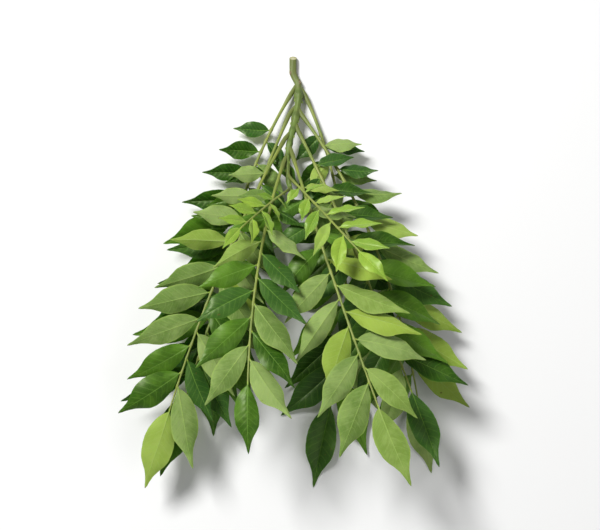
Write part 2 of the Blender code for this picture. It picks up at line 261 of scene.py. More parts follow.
def outline(u, lower):
    # half width over the widest: u to the power p times (1 - u) to the power q, over its peak, then
    # narrowed before the tip so that it is drawn out; p is larger on the half that faces the foot
    s = leafletShape
    power = np.where(lower, s["lowerPower"], s["upperPower"])
    peak = power / (power + s["tipPower"])
    full = peak ** power * (1 - peak) ** s["tipPower"]
    inside = np.clip(u, 0.0, 1.0)
    body = inside ** power * (1 - inside) ** s["tipPower"] / full
    narrowed = smooth((u - s["drawnFrom"]) / s["drawnRun"])
    narrowed = narrowed * (1 - smooth((u - s["drawnTo"]) / (1 - s["drawnTo"])))
    return np.where(lower, s["lowerWidth"], s["upperWidth"]) * body * (1 - s["drawnOut"] * narrowed)


def meshFrom(name, points, faces, materials, values=None, faceMaterial=None, sharpAngle=50):
    # an object at the origin: faces is a list of arrays, values are float attributes of the points
    mesh = bpy.data.meshes.new(name)
    mesh.from_pydata(points.tolist(), [], [face for block in faces for face in block.tolist()])
    for key, value in (values or {}).items():
        mesh.attributes.new(key, "FLOAT", "POINT").data.foreach_set("value", value.astype(np.float32))
    for material in materials:
        mesh.materials.append(material)
    if faceMaterial is not None:
        mesh.polygons.foreach_set("material_index", faceMaterial.astype(np.int32))
    mesh.shade_smooth()
    mesh.set_sharp_from_angle(angle=radians(sharpAngle))
    piece = bpy.data.objects.new(name, mesh)
    scene.collection.objects.link(piece)
    return piece


def gridFaces(rows, columns, wrap=False):
    # quads between the points row * columns + column; wrap joins the last column to the first
    row, column = np.meshgrid(np.arange(rows - 1), np.arange(columns if wrap else columns - 1), indexing="ij")
    following = (column + 1) % columns
    return np.stack([row * columns + column, row * columns + following,
                     (row + 1) * columns + following, (row + 1) * columns + column], axis=-1).reshape(-1, 4)


def ringAngles(sides):
    # equal shares of a full turn
    return np.arange(sides) * 2 * pi / sides


def ringPoints(centres, ways, radii, angles):
    # centre plus radius times (right times cosine plus over times sine); right is square to way and +Z
    right = unit(np.cross(ways, upright))
    over = np.cross(right, ways)
    return centres[:, None] + (right[:, None] * np.cos(angles)[None, :, None]
                               + over[:, None] * np.sin(angles)[None, :, None]) * radii[..., None]


def closedTube(rings, ends):
    # quads between neighbouring rings, and a fan of triangles at each end to its own point
    count, sides = rings.shape[:2]
    near, following = np.arange(sides), np.roll(np.arange(sides), -1)
    last = (count - 1) * sides
    firstFan = np.stack([following, near, np.full(sides, count * sides)], axis=-1)
    lastFan = np.stack([near + last, following + last, np.full(sides, count * sides + 1)], axis=-1)
    points = np.vstack([rings.reshape(-1, 3), ends])
    return points, [gridFaces(count, sides, wrap=True), firstFan, lastFan]


def alongRings(perRing, sides):
    # one value for each ring, repeated round it and once more for the point at each end
    return np.concatenate([np.repeat(perRing, sides), [perRing[0], perRing[-1]]])


def roundRings(count, angles):
    # the cosine and sine of each point's angle, nought at the two end points
    return {key: np.concatenate([np.tile(wave(angles), count), [0, 0]])
            for key, wave in (("ringX", np.cos), ("ringY", np.sin))}


# what only the fine leaflets have
leafletDetail = dict(
    veins=10.0,           # pairs of side veins
    veinSweep=0.2,        # how far a vein runs forward on its way to the edge, over the length
    veinCurve=1.15, veinSweepFade=0.5,
    veinStagger=0.25, staggerSharpness=6.0,  # the two halves' veins leave the rib in turn
    phaseFrom=20,         # keeps the count of veins above nought
    quilt=0.00007,        # the blade swells this much between two veins
    quiltFrom=0.15,       # in full from this share of the half width
    pillow=0.055,         # each half is crowned by this share of its width
    ripple=0.0005,        # the edge goes up and down by this much
    rippleRate=2.6, rippleShift=0.17, rippleWander=2.3, rippledWidth=0.006,
    twist=radians(16), bow=0.08, curl=0.075, foldScale=(0.4, 2.3),
    lengthScale=(0.92, 1.04), widthScale=(0.86, 1.02), turnAside=radians(5),
    trim=0.98,            # a little shorter than the solids, to stay inside their box
    ribHeight=0.00034, ribHalfWidth=0.00042, ribEnd=1.08, grooveDepth=0.00012,
    toothSpacing=0.0046, toothDepth=0.0001, toothStart=0.12, toothRun=0.1, toothedWidth=0.004,
    stalkEdge=0.00004, tipRun=0.3, bladeFrom=-0.05, bladeRun=0.12,
    stalkRows=5, bladeRows=62, youngRows=40, rowShift=0.015,
    halfColumns=7, columnPower=1.7,
    ownTone=0.65,         # the rest of a leaflet's lightness is its frond's
    bowRange=(-0.5, 1.0),
    youngBelow=0.03,      # a frond whose leaflets are shorter than this is young
)


def leafletRibs(each, path, u):
    # each midrib is the running sum of steps along (out times cosine plus up times sine) of an angle, the
    # lift less the bend times u to a power; returned at the shares u with its direction and its frame
    s = leafletShape
    share = each["share"][:, 0, 0]
    root = atPath(path["points"], share)
    way, side, up = (unit(atPath(path[key], share)) for key in ("ways", "sides", "normals"))
    hand, spread, bend, lift, length = (
        each[key][..., 0] for key in ("hand", "spread", "bend", "lift", "length"))
    out = way * np.cos(spread) + side * hand * np.sin(spread)
    across = unit(np.cross(up, out))  # the same way for both hands, as in the solids
    grid = np.linspace(-1.0, 1.0, s["ribSteps"] * 2 + 1)
    angle = lift - bend * np.clip(grid, 0, 1) ** s["bendPower"]
    ribWays = np.cos(angle)[..., None] * out[:, None] + np.sin(angle)[..., None] * up[:, None]
    stalk = s["stalkLength"] * np.minimum(1.0, length / s["fullStalkAt"])
    pace = np.where(grid[None, 1:] <= 0, stalk, length * leafletDetail["trim"])[..., None] / s["ribSteps"]
    strides = (ribWays[:, 1:] + ribWays[:, :-1]) / 2 * pace
    rib = root[:, None] + np.concatenate([np.zeros_like(strides[:, :1]), np.cumsum(strides, axis=1)], axis=1)
    position = np.clip((u + 1) * s["ribSteps"], 0, 2 * s["ribSteps"] - 1e-9)
    below = position.astype(int)
    beyond = (position - below)[None, :, None]
    centre = rib[:, below] * (1 - beyond) + rib[:, below + 1] * beyond
    along = unit(ribWays[:, below] * (1 - beyond) + ribWays[:, below + 1] * beyond)
    return centre[:, :, None], along[:, :, None], up[:, None, None], across[:, None, None]


def bladeWidth(each, u, v):
    # the outline's half width less shallow teeth, joined to the stalk's by the root of their squares' sum
    s, d = leafletShape, leafletDetail
    half = each["halfWidth"] * outline(u, v * each["hand"] > 0)
    turn = 2 * pi * each["length"] / d["toothSpacing"] * u + each["wave"] * v
    tooth = d["toothDepth"] * (0.5 + 0.5 * np.cos(turn))
    half = half - tooth * smooth(half / d["toothedWidth"]) * smooth((u - d["toothStart"]) / d["toothRun"])
    run = smooth(u / s["stalkRun"])
    narrow = s["stalkHalfWidth"] * (1 - run) + s["tipHalfWidth"] * run
    return np.sqrt(half ** 2 + narrow ** 2)


def bladeHeight(each, u, v, half, onBlade, phase):
    # over the tipped plane: fold, slow wave, crowned halves, wavy edge, quilting between the veins, curl
    s, d = leafletShape, leafletDetail
    edge, wave = np.abs(v), each["wave"]
    fold = edge * half * np.sin(each["fold"])
    slow = s["waveShare"] * half * v * np.sin(s["waveRate"] * u + wave)
    crown = d["pillow"] * half * 4 * (edge - edge ** 2) * onBlade
    ripple = np.sin(2 * pi * (d["rippleRate"] * u + d["rippleShift"] * each["hand"] * np.sign(v))
                    + d["rippleWander"] * wave)
    wavy = d["ripple"] * ripple * edge ** 3 * smooth(half / d["rippledWidth"])
    quilting = np.cos(2 * pi * phase) * smooth(edge / d["quiltFrom"]) * (1 - edge ** 4) * onBlade
    quilt = d["quilt"] * quilting * np.where(each["upper"], 1, -1)
    curl = d["curl"] * each["curl"] * each["length"] * smooth((u - 0.5) / 0.5) ** 2
    return fold + slow + crown + wavy - quilt + curl


def leafletGrid(rows, path):
    # every leaflet of a frond at once, as arrays of leaflet x row x column: the point on the midrib, plus
    # half width times v across, plus the height, plus or minus half the thickness along the normal
    s, d = leafletShape, leafletDetail
    each = {key: np.array([row[key] for row in rows])[:, None, None] for key in rows[0]}
    each["hand"] = np.where(each["side"] == 0, 1, each["side"])
    bladeRows = d["bladeRows"] if rows[-1]["length"] > d["youngBelow"] else d["youngRows"]
    blade = np.linspace(0.0, 1.0, bladeRows)
    u = np.concatenate([np.linspace(-1.0, 0.0, d["stalkRows"], endpoint=False),
                        blade - d["rowShift"] * np.sin(2 * pi * blade)])
    columns = np.linspace(-1.0, 1.0, d["halfColumns"] * 2 + 1)
    v = np.sign(columns) * np.abs(columns) ** d["columnPower"]  # closer together near the rib
    centre, along, up, level = leafletRibs(each, path, u)
    u, v = u[None, :, None], v[None, None, :]
    # the plane across the rib, tipped by the shingle angle and then by the twist
    twist = d["twist"] * (each["hue"] * 2 - 1) * smooth((u - d["tipRun"]) / (1 - d["tipRun"]))
    tilt = twist - each["tip"] * smooth(u / d["tipRun"])
    cross = turned(np.broadcast_to(level, along.shape), along, tilt)
    raised = np.cross(cross, along)
    raised = raised * np.sign(np.sum(raised * up, axis=-1, keepdims=True))
    half = bladeWidth(each, u, v)
    edge = np.abs(v)
    onBlade = smooth((u - d["bladeFrom"]) / d["bladeRun"]) + 0.0 * v
    phase = d["veins"] * (u - d["veinSweep"] * edge ** d["veinCurve"] * (1 - d["veinSweepFade"] * u))
    height = bladeHeight(each, u, v, half, onBlade, phase)
    bow = d["bow"] * each["bow"] * each["length"] * smooth(u) * np.clip(u, 0, 1)
    aside = v * half * np.cos(each["fold"]) - bow
    middle = centre + cross * aside[..., None] + raised * height[..., None]
    normal = np.cross(np.gradient(middle, axis=1), np.gradient(middle, axis=2))
    normal = unit(normal + 1e-12 * raised)
    normal = normal * np.sign(np.sum(normal * raised, axis=-1, keepdims=True))
    # half thickness: an oval stalk that runs into a thin blade, with a rib below and a groove above
    oval = s["stalkHalfDepth"] * np.sqrt(np.clip(1 - v ** 2, 0, 1)) + d["stalkEdge"]
    thin = (s["thickness"] + (s["edgeThickness"] - s["thickness"]) * edge ** 2) / 2
    thick = oval * (1 - onBlade) + thin * onBlade
    ribShape = bell(v * half, d["ribHalfWidth"]) * onBlade * (d["ribEnd"] - u)
    overTop = np.where(each["upper"], -d["grooveDepth"], d["ribHeight"]) * ribShape
    underneath = np.where(each["upper"], d["ribHeight"], -d["grooveDepth"]) * ribShape
    # what would be under the floor lies flat on it
    lowest = sprig["floor"] + sprig["settle"] + thick + np.clip(underneath, 0, None)
    middle[..., 2] = np.maximum(middle[..., 2], lowest)
    normal = np.where((middle[..., 2] <= lowest + 1e-7)[..., None], upright, normal)
    top = middle + normal * (thick + overTop)[..., None]
    bottom = middle - normal * (thick + underneath)[..., None]
    values = dict(ribDistance=edge * half * 1000, edgeShare=edge, alongRib=u, upper=each["upper"],
                  veinPhase=phase + d["veinStagger"] * np.tanh(d["staggerSharpness"] * v) + d["phaseFrom"],
                  leafTone=each["tone"], leafHue=each["hue"])
    return top, bottom, {key: np.broadcast_to(value, top.shape[:3]) for key, value in values.items()}


def leafletArrays(rows, path):
    # the top and bottom grids of each leaflet joined round their rim into one closed shell
    top, bottom, values = leafletGrid(rows, path)
    count, m, n = top.shape[:3]
    points = np.concatenate([top.reshape(count, m * n, 3), bottom.reshape(count, m * n, 3)], axis=1)
    index = np.arange(m * n).reshape(m, n)
    rim = np.concatenate([index[:, 0], index[-1, 1:], index[-2::-1, -1], index[0, -2:0:-1]])
    following = np.roll(rim, -1)
    border = np.stack([rim + m * n, following + m * n, following, rim], axis=-1)
    quads = gridFaces(m, n)
    shell = np.concatenate([quads[:, ::-1], quads + m * n, border])
    faces = (shell[None] + (np.arange(count) * 2 * m * n)[:, None, None]).reshape(-1, 4)
    upper = values.pop("upper").reshape(count, -1).astype(float)
    flat = {key: np.concatenate([value.reshape(count, -1)] * 2, axis=1).ravel()
            for key, value in values.items()}
    flat["upperSide"] = np.concatenate([upper, 1 - upper], axis=1).ravel()
    return points.reshape(-1, 3), faces, flat


class Wire:
    # one socket of a material: + - * / and abs on it add Math nodes, and node() adds any other kind
    def __init__(self, tree, socket=None):
        self.tree, self.socket = tree, socket

    def node(self, kind, settings=None, values=None, output=0):
        # the settings are set first, then each input, by name or number, from a value or a Wire
        made = self.tree.nodes.new("ShaderNode" + kind)
        for key, value in (settings or {}).items():
            setattr(made, key, value)
        for key, value in (values or {}).items():
            if isinstance(value, Wire):
                self.tree.links.new(value.socket, made.inputs[key])
            else:
                made.inputs[key].default_value = value
        return Wire(self.tree, made.outputs[output])

    def maths(self, operation, *values):
        # one Math node, its inputs in order
        return self.node("Math", {"operation": operation}, dict(enumerate(values)))

    __add__ = __radd__ = lambda self, other: self.maths("ADD", self, other)
    __mul__ = __rmul__ = lambda self, other: self.maths("MULTIPLY", self, other)
    __sub__ = lambda self, other: self.maths("SUBTRACT", self, other)
    __rsub__ = lambda self, other: self.maths("SUBTRACT", other, self)
    __truediv__ = lambda self, other: self.maths("DIVIDE", self, other)
    __abs__ = lambda self: self.maths("ABSOLUTE", self)


def step(value, low, high):
    # 0 at low, 1 at high, an S between them; low may be the larger
    return value.node("MapRange", {"interpolation_type": "SMOOTHSTEP"},
                      {"Value": value, "From Min": low, "From Max": high})


def blend(factor, first, second):
    # the first colour where the factor is 0, the second where it is 1, by the colour sockets 6, 7 and 2
    return factor.node("Mix", {"data_type": "RGBA"}, {0: factor, 6: first, 7: second}, 2)


def layer(colour, value, spread, over):
    # a second colour over the first, mixed in by its share as the value goes from start to full
    start, full, share = spread
    return blend(step(value, start, full) * share, colour, over)


def stored(wire, name):
    # a value kept on the mesh's points
    return wire.node("Attribute", {"attribute_name": name}, output="Fac")


def noise(where, scale, detail=2):
    # a cloudy value from 0 to 1, its middle near 0.5
    return where.node("TexNoise", {}, {"Vector": where, "Scale": scale, "Detail": detail})


def cells(where, scale, feature="F1"):
    # the distance to the nearest of many scattered points, or to the edges between their cells
    return where.node("TexVoronoi", {"feature": feature}, {"Vector": where, "Scale": scale})


def combined(wire, *values):
    # three values as one vector
    return wire.node("CombineXYZ", {}, dict(enumerate(values)))


def stalkPlace(wire, stretch):
    # the place round a stalk, and along it times the stretch
    return combined(wire, stored(wire, "ringX"), stored(wire, "ringY"), stored(wire, "alongPath") * stretch)


def bumped(height, strength, depth):
    # the normal of a surface raised by the height times the depth
    return height.node("Bump", {}, {"Strength": strength, "Distance": depth, "Height": height}, "Normal")


def surface(name, build, look, even):
    # a plain material: build(wire, look) gives what varies, and even holds what is the same all over
    made = bpy.data.materials.new(name)
    made.use_nodes = True
    tree = made.node_tree
    shader = tree.nodes["Principled BSDF"]
    for key, wire in build(Wire(tree), look).items():
        tree.links.new(wire.socket, shader.inputs[key])
    for key, value in even.items():
        shader.inputs[key].default_value = value
    return made


# a layer is the value where it starts, the value where it is full, and its share there; a bump is its
# strength and its depth
grownLook = dict(
    upper=dict(
        deep=(0.014, 0.056, 0.003, 1), light=(0.088, 0.2, 0.014, 1),
        other=(0.024, 0.08, 0.016, 1), edge=(0.09, 0.2, 0.02, 1), vein=(0.135, 0.27, 0.04, 1),
        clouding=0.3, lightLayer=(0.1, 0.95, 1), otherLayer=(0.45, 0.85, 0.75),
        edgeLayer=(0.9, 1, 0.45), veinShare=0.3, ribShare=0.75, roughness=0.44, coat=0.09,
    ),
    under=dict(
        deep=(0.115, 0.198, 0.04, 1), light=(0.255, 0.352, 0.108, 1),
        other=(0.31, 0.43, 0.045, 1), edge=(0.32, 0.45, 0.095, 1), vein=(0.33, 0.46, 0.12, 1),
        clouding=0.4, lightLayer=(0.05, 0.95, 1), otherLayer=(0.55, 1, 0.8),
        edgeLayer=(0.84, 1, 0.45), veinShare=0.22, ribShare=0.6, roughness=0.62,
    ),
    base=(0.3, 0.4, 0.06, 1), baseLayer=(0.05, -0.25, 0.8),
    mottleScale=95, fineScale=420, cloudRange=(0.34, 0.68),
    panelShare=0.35, panelScale=1.6, panelStretch=(1.6, 2.2, 9),  # patches between the veins
    ribRange=(0.42, 0.147),  # mm from the middle of the rib, at the base
    ribEnd=1.12, veinWander=0.16, veinRange=(0.8, 1), veinEdge=(0.98, 0.7), veinFoot=(0, 0.06),
    netScale=900, netRange=(0.1, 0.02), netShare=0.1, glandScale=1530, glandLayer=(0.22, 0.1, 0.1),
    brown=(0.12, 0.085, 0.022, 1),
    fleckScale=330, fleckRange=(0.755, 0.8), fleckHue=(0.5, 0.62), fleckShare=0.75,
    dryWander=0.1, dryRange=(0.955, 1), dryTone=(0.36, 0.5), dryShare=0.7,
    roughnessChange=0.16, ribRoughness=0.06, bump=(0.5, 0.0001),
    heights=(0.5, 0.16, 0.45, -0.08),  # of mottle, fine cloud, veins and net
)

youngLook = dict(
    grownLook, ribRange=(0.3, 0.105),
    upper=dict(grownLook["upper"], deep=(0.15, 0.28, 0.03, 1), light=(0.29, 0.44, 0.05, 1),
               other=(0.2, 0.33, 0.04, 1), vein=(0.36, 0.5, 0.09, 1), edge=(0.35, 0.48, 0.07, 1),
               roughness=0.42, coat=0.15),
    under=dict(grownLook["under"], deep=(0.25, 0.37, 0.07, 1), light=(0.33, 0.47, 0.07, 1),
               other=(0.37, 0.48, 0.06, 1)),
)


def leafSide(side, tone, hue, cloud, edge, net, vein, rib):
    # two greens by tone and cloud, another by hue, then the edge, and the lines of the three kinds on top
    colour = layer(side["deep"], tone + (cloud - 0.5) * side["clouding"], side["lightLayer"], side["light"])
    colour = layer(colour, hue, side["otherLayer"], side["other"])
    colour = layer(colour, edge, side["edgeLayer"], side["edge"])
    return blend(net + vein * side["veinShare"] + rib * side["ribShare"], colour, side["vein"])


def leafSurface(wire, look):
    # both sides in one material: the leaflet's own values and cloudy noise choose the colours
    place = wire.node("TexCoord", output="Object")
    ribDistance, edge, phase, along, tone, hue, upper = (stored(wire, name) for name in (
        "ribDistance", "edgeShare", "veinPhase", "alongRib", "leafTone", "leafHue", "upperSide"))
    mottle = noise(place, look["mottleScale"], 3)
    fine = noise(place, look["fineScale"])
    # the rib narrows to the tip; a side vein is where the phase is a whole number
    rib = step(ribDistance / (look["ribEnd"] - along), *look["ribRange"])
    wandering = phase + (fine - 0.5) * look["veinWander"]
    vein = step(abs(wandering.maths("FRACT", wandering) - 0.5) * 2, *look["veinRange"])
    vein = vein * step(edge, *look["veinEdge"]) * step(along, *look["veinFoot"])
    panel = (value * stretch for value, stretch in zip((phase, edge, tone), look["panelStretch"]))
    between = noise(combined(wire, *panel), look["panelScale"])
    cloud = step(mottle + (between - 0.5) * look["panelShare"], *look["cloudRange"])
    net = step(cells(place, look["netScale"], "DISTANCE_TO_EDGE"), *look["netRange"])
    dark, pale = (leafSide(look[side], tone, hue, cloud, edge, net * look["netShare"], vein, rib)
                  for side in ("upper", "under"))
    colour = layer(blend(upper, pale, dark), along, look["baseLayer"], look["base"])
    colour = layer(colour, cells(place, look["glandScale"]), look["glandLayer"], look["upper"]["light"])
    # a few leaves carry brown flecks, and a few are dry at the very tip
    fleck = step(noise(place, look["fleckScale"], 1), *look["fleckRange"]) * step(hue, *look["fleckHue"])
    dry = step(along + (mottle - 0.5) * look["dryWander"], *look["dryRange"])
    dry = dry * step(tone * hue, *look["dryTone"]) * look["dryShare"]
    colour = blend(fleck * look["fleckShare"] + dry * (1 - fleck), colour, look["brown"])
    rough, underRough = look["upper"]["roughness"], look["under"]["roughness"]
    rough = upper * (rough - underRough) + underRough + (mottle - 0.5) * look["roughnessChange"]
    height = sum(value * share for value, share in zip((mottle, fine, vein, net), look["heights"]))
    return {
        "Base Color": colour,
        "Roughness": rough + rib * look["ribRoughness"],
        "Coat Weight": upper * look["upper"]["coat"],
        "Normal": bumped(height, *look["bump"]),
    }


# the same all over a leaf, on both sides
leafEven = {
    "IOR": 1.42, "Specular IOR Level": 0.38, "Specular Tint": (0.85, 1.0, 0.45, 1), "Coat Roughness": 0.26,
    "Subsurface Weight": 0.12, "Subsurface Radius": (0.5, 1.0, 0.15), "Subsurface Scale": 0.0012,
}

stalkLook = dict(
    green=(0.14, 0.215, 0.034, 1), yellow=(0.3, 0.335, 0.062, 1),
    deep=(0.1, 0.19, 0.028, 1), foot=(0.12, 0.15, 0.034, 1),
    streakStretch=18, streakScale=3.4, yellowLayer=(0.3, 0.7, 1),
    patchScale=60, deepLayer=(0.5, 0.75, 0.4), footLayer=(0.012, 0, 0.75),
    roughness=0.46, roughnessChange=0.2, bump=(0.4, 0.00012),
)


def rachisSurface(wire, look):
    # green and yellow streaks along the stalk, deeper green in patches, brownish at the foot
    streak = noise(stalkPlace(wire, look["streakStretch"]), look["streakScale"], 3)
    patch = noise(wire.node("TexCoord", output="Object"), look["patchScale"])
    colour = layer(look["green"], streak, look["yellowLayer"], look["yellow"])
    colour = layer(colour, patch, look["deepLayer"], look["deep"])
    return {
        "Base Color": layer(colour, stored(wire, "alongPath"), look["footLayer"], look["foot"]),
        "Roughness": (patch - 0.5) * look["roughnessChange"] + look["roughness"],
        "Normal": bumped(streak, *look["bump"]),
    }


stemLook = dict(
    green=(0.095, 0.165, 0.026, 1), light=(0.19, 0.27, 0.052, 1), brown=(0.13, 0.085, 0.036, 1),
    cork=(0.3, 0.235, 0.13, 1), node=(0.07, 0.11, 0.022, 1),
    pith=(0.62, 0.6, 0.42, 1), wood=(0.52, 0.52, 0.27, 1), bark=(0.17, 0.16, 0.05, 1),
    streakStretch=14, streakScale=4.2, lightLayer=(0.3, 0.72, 1), nodeShare=0.6,
    patchScale=85, patchRange=(0.55, 0.8), patchShare=0.55,
    footRange=(0.045, 0), footShare=0.35,
    dotStretch=300, dotScale=1.9, dotRange=(0.2, 0.1), dotShare=0.8,
    scarLayer=(0.3, 0.45, 0.8), scarMiddle=(0.62, 0.72, 0.8),
    grainScale=2600, graining=0.12, grainShare=0.35,
    woodLayer=(0.3, 0.42, 1), rimLayer=(0.84, 0.92, 1),
    roughness=0.55, roughnessChange=0.2, cutRoughness=0.2,
    streakHeight=0.7, dotHeight=0.6, bump=(0.6, 0.00018),
)


def stemSurface(wire, look):
    # streaked green bark, browner at the foot, with corky dots and scars; pith, wood and rim on the cut
    along, node, scar, cut, core = (stored(wire, name) for name in (
        "alongPath", "nodeShare", "scarShare", "cutFace", "coreShare"))
    place = wire.node("TexCoord", output="Object")
    streak = noise(stalkPlace(wire, look["streakStretch"]), look["streakScale"], 4)
    patch = noise(place, look["patchScale"], 3)
    dots = step(cells(stalkPlace(wire, look["dotStretch"]), look["dotScale"]), *look["dotRange"])
    brown = step(patch, *look["patchRange"]) * look["patchShare"]
    brown = brown + step(along, *look["footRange"]) * look["footShare"]
    bark = blend(brown, layer(look["green"], streak, look["lightLayer"], look["light"]), look["brown"])
    bark = blend(node * look["nodeShare"], bark, look["node"])
    bark = blend(dots * look["dotShare"], bark, look["cork"])
    bark = layer(bark, scar, look["scarLayer"], look["brown"])
    bark = layer(bark, scar, look["scarMiddle"], look["cork"])
    # the cut: pith in the middle, a pale ring of wood, a thin rim of bark
    grain = noise(place, look["grainScale"], 3)
    face = layer(look["pith"], core + (grain - 0.5) * look["graining"], look["woodLayer"], look["wood"])
    face = layer(face, core, look["rimLayer"], look["bark"])
    face = blend(grain * look["grainShare"], face, look["brown"])
    height = streak * look["streakHeight"] + dots * look["dotHeight"] + grain * cut
    return {
        "Base Color": blend(cut, bark, face),
        "Roughness": (patch - 0.5) * look["roughnessChange"] + look["roughness"] + cut * look["cutRoughness"],
        "Normal": bumped(height, *look["bump"]),
    }


budLook = dict(
    base=(0.15, 0.23, 0.04, 1), tip=(0.36, 0.48, 0.085, 1), tipLayer=(0.1, 0.9, 1),
    cloudScale=700, clouding=0.3, roughness=0.5, roughnessChange=0.2, bump=(0.4, 0.0001),
)


def budSurface(wire, look):
    # greener at the base, pale and downy towards the tip
    cloud = noise(wire.node("TexCoord", output="Object"), look["cloudScale"], 3)
    clouded = stored(wire, "alongBud") + (cloud - 0.5) * look["clouding"]
    return {
        "Base Color": layer(look["base"], clouded, look["tipLayer"], look["tip"]),
        "Roughness": (cloud - 0.5) * look["roughnessChange"] + look["roughness"],
        "Normal": bumped(cloud, *look["bump"]),
    }


grownLeaf = surface("grownLeaf", leafSurface, grownLook, leafEven)
youngLeaf = surface("youngLeaf", leafSurface, youngLook, leafEven)
leafStalk = surface("leafStalk", rachisSurface, stalkLook, {"IOR": 1.45})
youngBud = surface("youngBud", budSurface, budLook, {"IOR": 1.45})
greenBark = surface("greenBark", stemSurface, stemLook, {"IOR": 1.45})
print("surfaces ready")


rachisDetail = dict(
    sides=14, rings=120, groove=0.16, grooveWidth=0.55,
    cushion=0.00028, cushionLength=0.0013, fullCushionAt=0.04,  # where a leaflet's stalk leaves
    rootTaper=0.4, slimmer=0.8, pointShare=0.6,
)


def rachisArrays(frond, path, rows):
    # a tube from inside the stem to the frond's end: the solids' radius made slimmer, more so towards the
    # root, plus a bell at each leaflet's stalk, less a bell-shaped groove along the top
    d = rachisDetail
    length = frond["length"]
    rooted = len(path["root"])
    share = np.linspace(0.0, 1.0, d["rings"])
    centres = np.concatenate([path["root"], atPath(path["points"], share)])
    ways = np.concatenate([path["rootWays"], unit(atPath(path["ways"], share))])
    deep = np.concatenate([np.linspace(1.0, 0.0, rooted, endpoint=False), share * 0])
    share = np.concatenate([np.zeros(rooted), share])
    radii = rachisRadius(share, length) * d["slimmer"] * (1 - d["rootTaper"] * deep ** 2)
    cushions = sum(bell((share - row["share"]) * length, d["cushionLength"]) for row in rows if row["side"])
    radii = radii + d["cushion"] * cushions * min(1.0, frond["leaf"] / d["fullCushionAt"])
    angles = ringAngles(d["sides"])
    groove = 1 - d["groove"] * bell(angles - pi / 2, d["grooveWidth"])
    rings = ringPoints(centres, ways, radii[:, None] * groove[None, :], angles)
    rings[..., 2] = np.maximum(rings[..., 2], sprig["floor"])
    point = centres[-1] + ways[-1] * radii[-1] * d["pointShare"]
    points, faces = closedTube(rings, np.stack([centres[0], point]))
    values = dict(alongPath=alongRings(share * length, d["sides"]), **roundRings(len(rings), angles))
    return points, faces, values


def liveliness(rows, frond):
    # what no solid has: each leaflet's colour, side, bow and curl, and small changes to its shape
    d = leafletDetail
    tones = np.random.default_rng(frond["lookSeed"])
    for row in rows:
        row["tone"] = (1 - d["ownTone"]) * frond["lightness"] + d["ownTone"] * tones.random()
        row["hue"] = tones.random()
        row["upper"] = tones.random() < frond["upperShare"]
        row["bow"] = tones.uniform(*d["bowRange"]) * row["side"]
        row["bow"] += 0 if row["side"] else tones.uniform(-1.0, 1.0)
        row["fold"] *= tones.uniform(*d["foldScale"])
        row["curl"] = tones.uniform(-1.0, 1.0)
        scale = tones.uniform(*d["lengthScale"])
        row["length"] *= scale
        row["halfWidth"] *= scale * tones.uniform(*d["widthScale"])
        row["spread"] += d["turnAside"] * tones.uniform(-1.0, 1.0) * abs(row["side"])


def frondPiece(frond):
    # the rachis and all its leaflets as one mesh
    path = frondPath(frond)
    rows = leafletRows(frond)
    liveliness(rows, frond)
    stalk, stalkFaces, stalkValues = rachisArrays(frond, path, rows)
    leaves, leafFaces, leafValues = leafletArrays(rows, path)
    values = {key: np.concatenate([np.zeros(len(stalk)), value]) for key, value in leafValues.items()}
    values.update({key: np.concatenate([value, np.zeros(len(leaves))]) for key, value in stalkValues.items()})
    finish = np.repeat([1, 0], [sum(map(len, stalkFaces)), len(leafFaces)])
    grown = frond["leaf"] > leafletDetail["youngBelow"]
    piece = meshFrom(frond["name"].replace("frond_", "leafyFrond"), np.vstack([stalk, leaves]),
                     stalkFaces + [leafFaces + len(stalk)],
                     [grownLeaf if grown else youngLeaf, leafStalk], values, finish)
    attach(piece, "root")
    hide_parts(frond["name"])
    return piece


for frond in fronds:
    piece = frondPiece(frond)
    print(piece.name, len(piece.data.polygons), "faces")


stemDetail = dict(
    sides=40, rings=250, slimmer=0.985,
    ridges=5, ridgeDepth=0.035, ridgeTurn=26, ridgeStart=0.01,
    cutRings=(1.0, 0.97, 0.86, 0.62, 0.34, 0.12), cutHollow=0.00022, cutSlant=0.75, cutRun=0.003,
    tipPoint=0.0002,
    nodeMark=0.0012, nodeShift=0.0015,  # the darker ring below each frond's foot
    # leaf scars below the lowest frond: distance from the cut end and angle round the stem
    scars=((0.0115, 0.5), (0.019, 2.3)), scarHeight=0.00055, scarLength=0.0013, scarWidth=0.55,
)


def scarHeights(along, angles):
    # for each scar, a bell along the stem times a bell of the angle from it, added up
    d = stemDetail
    total = 0.0
    for at, around in d["scars"]:
        apart = (angles - around + pi) % (2 * pi) - pi
        total = total + bell(along - at, d["scarLength"])[:, None] * bell(apart, d["scarWidth"])[None, :]
    return total


